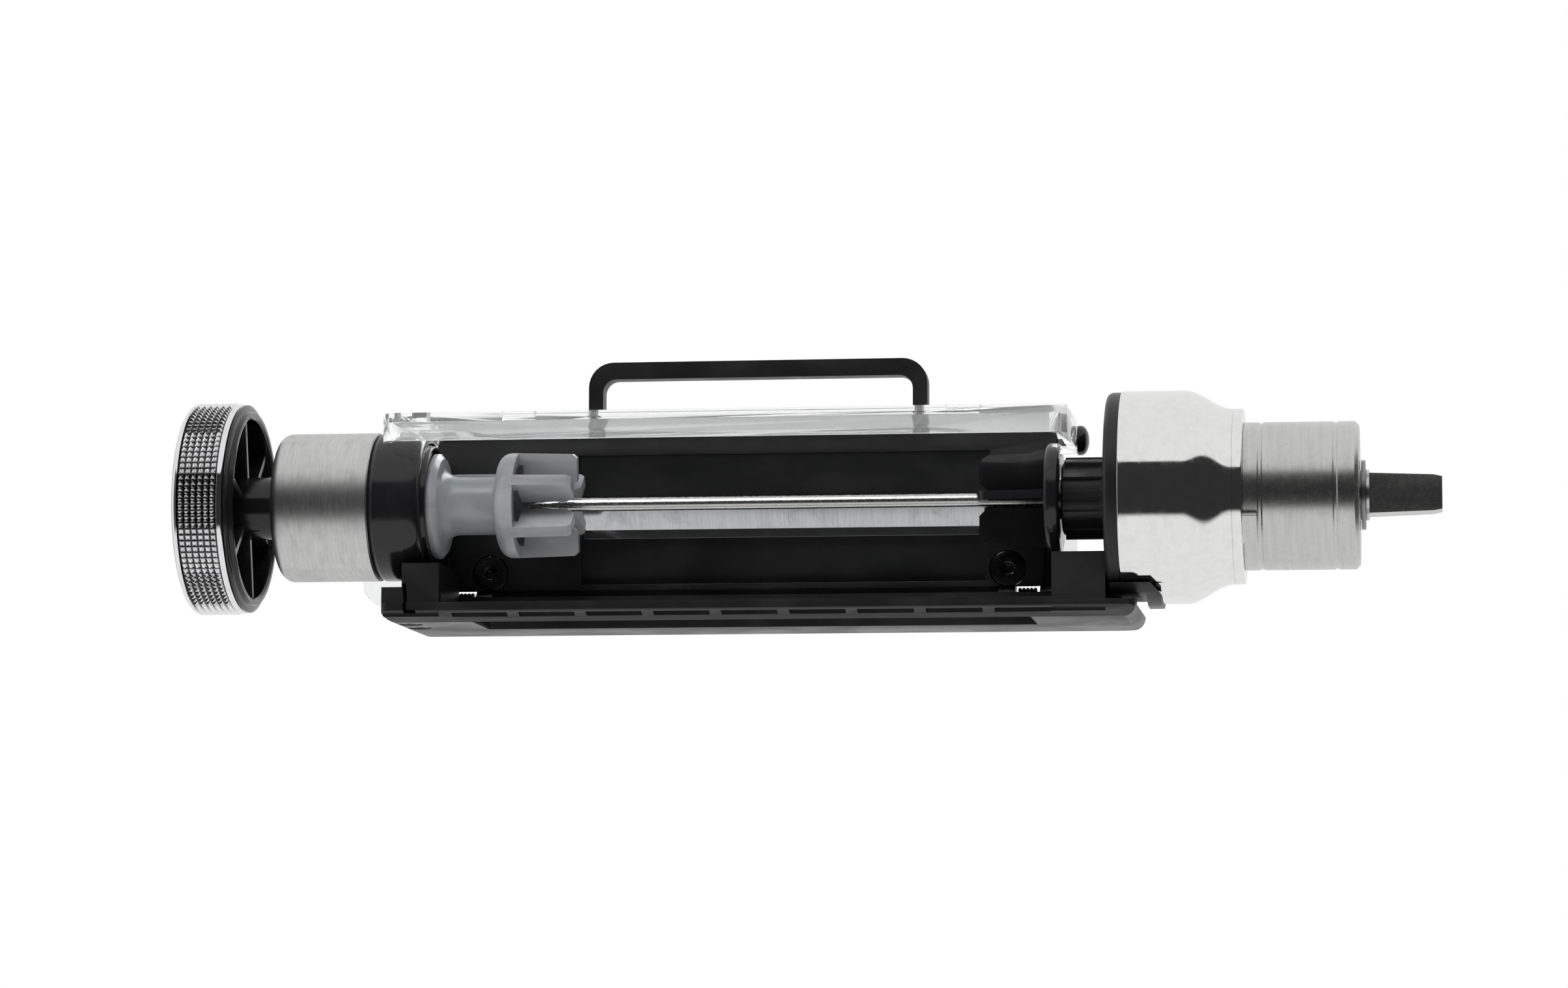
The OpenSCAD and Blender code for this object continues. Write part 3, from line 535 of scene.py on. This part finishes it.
def barrel(b):
    left, right = spanX("barrel")
    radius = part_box("barrel")[1].z / mm
    step = right - b["spigotLength"]
    line = [(left, b["bore"], 0), (left, radius - b["shoulder"], 0)]
    line += [(left + b["shoulder"] * (1 - math.cos(a)),
              radius - b["shoulder"] * (1 - math.sin(a)), 0)
             for a in (math.pi / 2 * k / 12 for k in range(1, 13))]
    line += [(step - b["chamfer"], radius, 0), (step, radius - b["chamfer"], 0.1),
             (step, b["spigot"], 0.1),
             (right, b["spigot"], 0.1), (right, b["inside"], 0.1),
             (left + b["wallEnd"], b["inside"], 0.2), (left + b["wallEnd"], b["bore"], 0.1)]
    return place("springBarrel", lathe("springBarrel", filleted(line)), "barrel")


barrel(barrelSizes)

# collar: glossy black ring with a full round shoulder and a small flat lip inside it
collarSizes = {"radius": 18.0, "bore": 13.3, "spigot": 16.0, "spigotLength": 6.0, "shoulder": 5.4,
               "shoulderDrop": 2.9, "lip": 1.2, "lipDrop": 3.5}


def collar(c):
    left, right = spanX("collar")
    radius, inner, face = c["radius"], left + c["spigotLength"], right - 0.1
    turn = right - c["shoulder"] - c["lip"]
    line = [(inner, c["spigot"], 0), (left, c["spigot"], 0.15), (left, radius - 0.9, 0.6),
            (left + 1.3, radius, 0.9), (turn, radius, 0)]
    line += [(turn + c["shoulder"] * math.sin(a), radius - c["shoulderDrop"] * (1 - math.cos(a)), 0)
             for a in (math.pi / 2 * k / 14 for k in range(1, 15))]
    line += [(turn + c["shoulder"] - 0.2, radius - c["lipDrop"] + 0.1, 0.25),
             (face, radius - c["lipDrop"], 0.5), (face, c["bore"], 0.3), (inner, c["bore"], 0)]
    return place("barrelCollar", lathe("barrelCollar", filleted(line)), "collar")


collar(collarSizes)

# knob: a chrome rim whose band carries rows of small pyramids
knob = {"bandStart": 1.6, "bandEnd": 10.9, "rows": 6, "around": 106, "depth": 0.8,
        "inside": 24.2, "faceHole": 20.0}


def knobRim(k):
    left, right = spanX("knob_rim")
    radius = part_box("knob_rim")[1].z / mm
    root = radius - k["depth"]
    start, end = left + k["bandStart"], left + k["bandEnd"]
    line = [(left + 1.9, k["faceHole"], 0), (left, k["faceHole"], 0.3), (left, radius - 1.8, 0.6)]
    line += [(left + 1.5 * (1 - math.cos(a)), radius - 1.8 + 1.7 * math.sin(a), 0)
             for a in (math.pi / 2 * j / 8 for j in range(1, 9))]
    line += [(start - 0.35, radius - 0.1, 0.15), (start, root - 0.12, 0.1), (end, root - 0.12, 0.1),
             (end + 0.3, radius - 0.25, 0.15), (right - 0.9, radius - 0.25, 0)]
    line += [(right - 0.9 + 0.8 * math.sin(a), radius - 0.25 - 0.75 * (1 - math.cos(a)), 0)
             for a in (math.pi / 2 * j / 8 for j in range(1, 9))]
    line += [(right - 0.2, k["inside"], 0.1), (left + 1.9, k["inside"], 0)]
    body = lathe("knobRim", filleted(line), 208)
    work = bmesh.new()
    work.from_mesh(body)
    width = (end - start) / k["rows"]

    def spot(x, r, turn):
        a = 2 * math.pi * turn / k["around"]
        return work.verts.new((x * mm, r * mm * math.cos(a), r * mm * math.sin(a)))

    for row in range(k["rows"]):
        for turn in range(k["around"]):
            x = start + width * row
            base = [spot(x, root - 0.15, turn), spot(x + width, root - 0.15, turn),
                    spot(x + width, root - 0.15, turn + 1), spot(x, root - 0.15, turn + 1)]
            crown = [spot(x + width * u, radius - 0.02, turn + v)
                     for u, v in ((0.42, 0.42), (0.58, 0.42), (0.58, 0.58), (0.42, 0.58))]
            for j in range(4):
                n = (j + 1) % 4
                work.faces.new((base[j], base[n], crown[n], crown[j]))
            work.faces.new(crown)
            work.faces.new(reversed(base))
    bmesh.ops.recalc_face_normals(work, faces=work.faces)
    work.to_mesh(body)
    work.free()
    return place("knobRim", body, "knob_rim", angle=24)


knobRim(knob)

# springs as smooth round wire; keep is the share of its length that the plunger spring has left
springs = {"plungerTurns": 6.5, "plungerRadius": 9.2, "plungerWire": 0.65, "plungerSteps": 420,
           "keep": 0.315, "pivotTurns": 4.75, "pivotRadius": 2.75, "pivotWire": 0.45,
           "pivotSteps": 152, "pivotLength": 4.4, "fromLeft": 4.8, "fromRight": 9.2, "leg": 3.1}


def plungerSpring(s):
    left, right = spanX("plunger_spring")
    steps, radius, wire = s["plungerSteps"], s["plungerRadius"], s["plungerWire"]
    points = []
    for i in range(steps + 1):
        a = 2 * math.pi * s["plungerTurns"] * i / steps
        x = left + wire + (right - left - 2 * wire) * i / steps
        points.append(Vector((x, radius * math.cos(a), radius * math.sin(a))) * mm)
    held = place("plungerSpring", tube("plungerSpring", points, wire * mm), "plunger_spring")
    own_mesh(held)


def carriageSprings(s):
    low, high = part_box("pivot_pins")
    y, z = (low.y + high.y) / 2 / mm, (low.z + high.z) / 2 / mm
    left, right = spanX("carriage_panel")
    steps, radius, length = s["pivotSteps"], s["pivotRadius"], s["pivotLength"]
    coils = []
    for x in (left + s["fromLeft"], right - s["fromRight"]):
        points = [Vector((x, y + radius, z - s["leg"])) * mm]
        for i in range(steps + 1):
            a = 2 * math.pi * s["pivotTurns"] * i / steps
            points.append(Vector((x + length * i / steps, y + radius * math.cos(a),
                                  z + radius * math.sin(a))) * mm)
        points.append(Vector((x + length, y + radius + 0.6, z - radius)) * mm)
        coils.append(tube("coil", points, s["pivotWire"] * mm, 12))
    place("carriageSprings", joined("carriageSprings", coils), "carriage_springs")


plungerSpring(springs)
carriageSprings(springs)
print("turned pieces ready")

# the other pieces keep the CAD shape with rounded edges: width in millimetres and rounding steps
edges = {
    "end_plate": (0.35, 3), "lower_frame": (0.45, 3), "carriage_panel": (0.4, 3), "blade": (0.04, 2),
    "blade_carrier": (0.3, 3), "blade_screws": (0.4, 3), "rear_shield": (0.45, 4),
    "guard_cover": (0.7, 4), "handle": (1.5, 5), "hinge_caps": (0.15, 2), "food_holder": (0.3, 3),
    "drive_prong": (0.45, 3), "drive_shaft": (0.3, 3), "knob_core": (0.35, 3), "knob_cap": (0.3, 3),
    "housing_screws": (0.15, 2), "frame_screws": (0.15, 2), "shield_screws": (0.15, 2),
    "handle_screws": (0.15, 2), "knob_screw": (0.2, 2), "pivot_pins": (0.3, 3),
    "skewer": (0.05, 2), "locating_key": (0.3, 3), "thrust_washer": (0.15, 2), "plunger_rod": (0.25, 2),
    "barrel_bush": (0.25, 2), "front_bush": (0.15, 2), "rear_bush": (0.15, 2),
    "retaining_clip": (0.1, 2), "holder_clip": (0.1, 2), "prong_pin": (0.2, 2),
}
for node, (width, steps) in edges.items():
    words = node.split("_")
    name = words[0] + "".join(word.capitalize() for word in words[1:])
    place(name, softened(node, width, steps), node)
print("softened pieces ready:", len(edges))

# room: pale floor, and a white surround whose dark front reaches round to the machine's side; the
# bright metal mirrors that front between two heights, each with its own softness
room = {"floorDrop": 0.30, "floorSize": 12.0, "floorGlow": 0.09, "backdrop": (1.0, 1.0, 1.0),
        "dome": 0.86, "front": 0.035, "frontLow": -0.42, "lowSoft": 0.05, "frontHigh": 0.54,
        "highSoft": 0.015, "side": 0.75}


def studio(r):
    work = bmesh.new()
    half = r["floorSize"] / 2
    bmesh.ops.create_grid(work, x_segments=8, y_segments=8, size=half)
    mesh = bpy.data.meshes.new("floor")
    work.to_mesh(mesh)
    work.free()
    floor = bpy.data.objects.new("floor", mesh)
    floor.location = (0, 0, -r["floorDrop"])
    bpy.context.scene.collection.objects.link(floor)
    f = Finish("paleFloor")
    cloud = f.noise(180, 3, 0.5)
    pale = f.mix(cloud, (0.83, 0.83, 0.825), (0.80, 0.80, 0.80))
    mesh.materials.append(f.finish(pale, cloud * 0.1 + 0.5, Emission_Color=(1, 1, 1, 1),
                                   Emission_Strength=r["floorGlow"]))
    floor.visible_glossy = False  # the metal mirrors the dark front instead

    world = bpy.data.worlds.new("studio")
    bpy.context.scene.world = world
    world.use_nodes = True
    tree = world.node_tree
    tree.nodes.clear()
    look = add(tree, "ShaderNodeTexCoord", out=0)
    split = add(tree, "ShaderNodeSeparateXYZ", inputs={0: look})
    x, y, z = (Wire(tree, split.socket.node.outputs[i]) for i in range(3))
    facing = (x.between(0.15, 0.85) * r["side"] - y).between(0.30, 0.60)
    above = z.between(r["frontLow"] - r["lowSoft"], r["frontLow"] + r["lowSoft"])
    below = 1 - z.between(r["frontHigh"] - r["highSoft"], r["frontHigh"] + r["highSoft"])
    band = above * below
    level = 1 - facing * band * (1 - r["front"])
    lit = add(tree, "ShaderNodeBackground", inputs={0: (1, 1, 1), 1: level * r["dome"]})
    plain = add(tree, "ShaderNodeBackground", inputs={0: r["backdrop"], 1: 1.0})
    seen = add(tree, "ShaderNodeLightPath", out=0)
    through = Wire(tree, seen.socket.node.outputs[6])  # so that clear plastic shows the plain white
    direct = seen.maths("MAXIMUM", seen, through)
    both = add(tree, "ShaderNodeMixShader", inputs={0: direct, 1: lit, 2: plain})
    add(tree, "ShaderNodeOutputWorld", inputs={0: both})


studio(room)

lamps = {
    "key": {"at": (-0.35, -0.55, 0.75), "size": (0.7, 0.35), "watts": 9},
    "back": {"at": (0.15, 0.6, 0.55), "size": (0.6, 0.3), "watts": 5},
}


def softLamp(name, lamp, aim):
    data = bpy.data.lights.new(name, "AREA")
    data.shape = "RECTANGLE"
    data.size, data.size_y = lamp["size"]
    data.energy = lamp["watts"]
    held = bpy.data.objects.new(name, data)
    held.location = lamp["at"]
    held.visible_glossy = False
    held.rotation_euler = (aim - Vector(lamp["at"])).to_track_quat("-Z", "Y").to_euler()
    bpy.context.scene.collection.objects.link(held)


aim = Vector((-0.110, 0, 0.002))
for name, lamp in lamps.items():
    softLamp(name, lamp, aim)

# camera: in front of the machine and a little low, looking up and to the left, turned a hair
shot = {"at": (0.0456, -1.150, -0.1304), "lens": 112, "roll": 0.15}


def camera(c):
    data = bpy.data.cameras.new("camera")
    data.lens = c["lens"]
    data.sensor_width = 36
    data.clip_start, data.clip_end = 0.05, 50
    held = bpy.data.objects.new("camera", data)
    look = (aim - Vector(c["at"])).to_track_quat("-Z", "Y").to_matrix()
    turned = look @ Matrix.Rotation(math.radians(c["roll"]), 3, "Z")
    held.matrix_world = Matrix.Translation(c["at"]) @ turned.to_4x4()
    bpy.context.scene.collection.objects.link(held)
    bpy.context.scene.camera = held


camera(shot)
bpy.context.scene.view_settings.view_transform = "Standard"
bpy.context.scene.view_settings.look = "None"
print("room, lamps and camera ready")
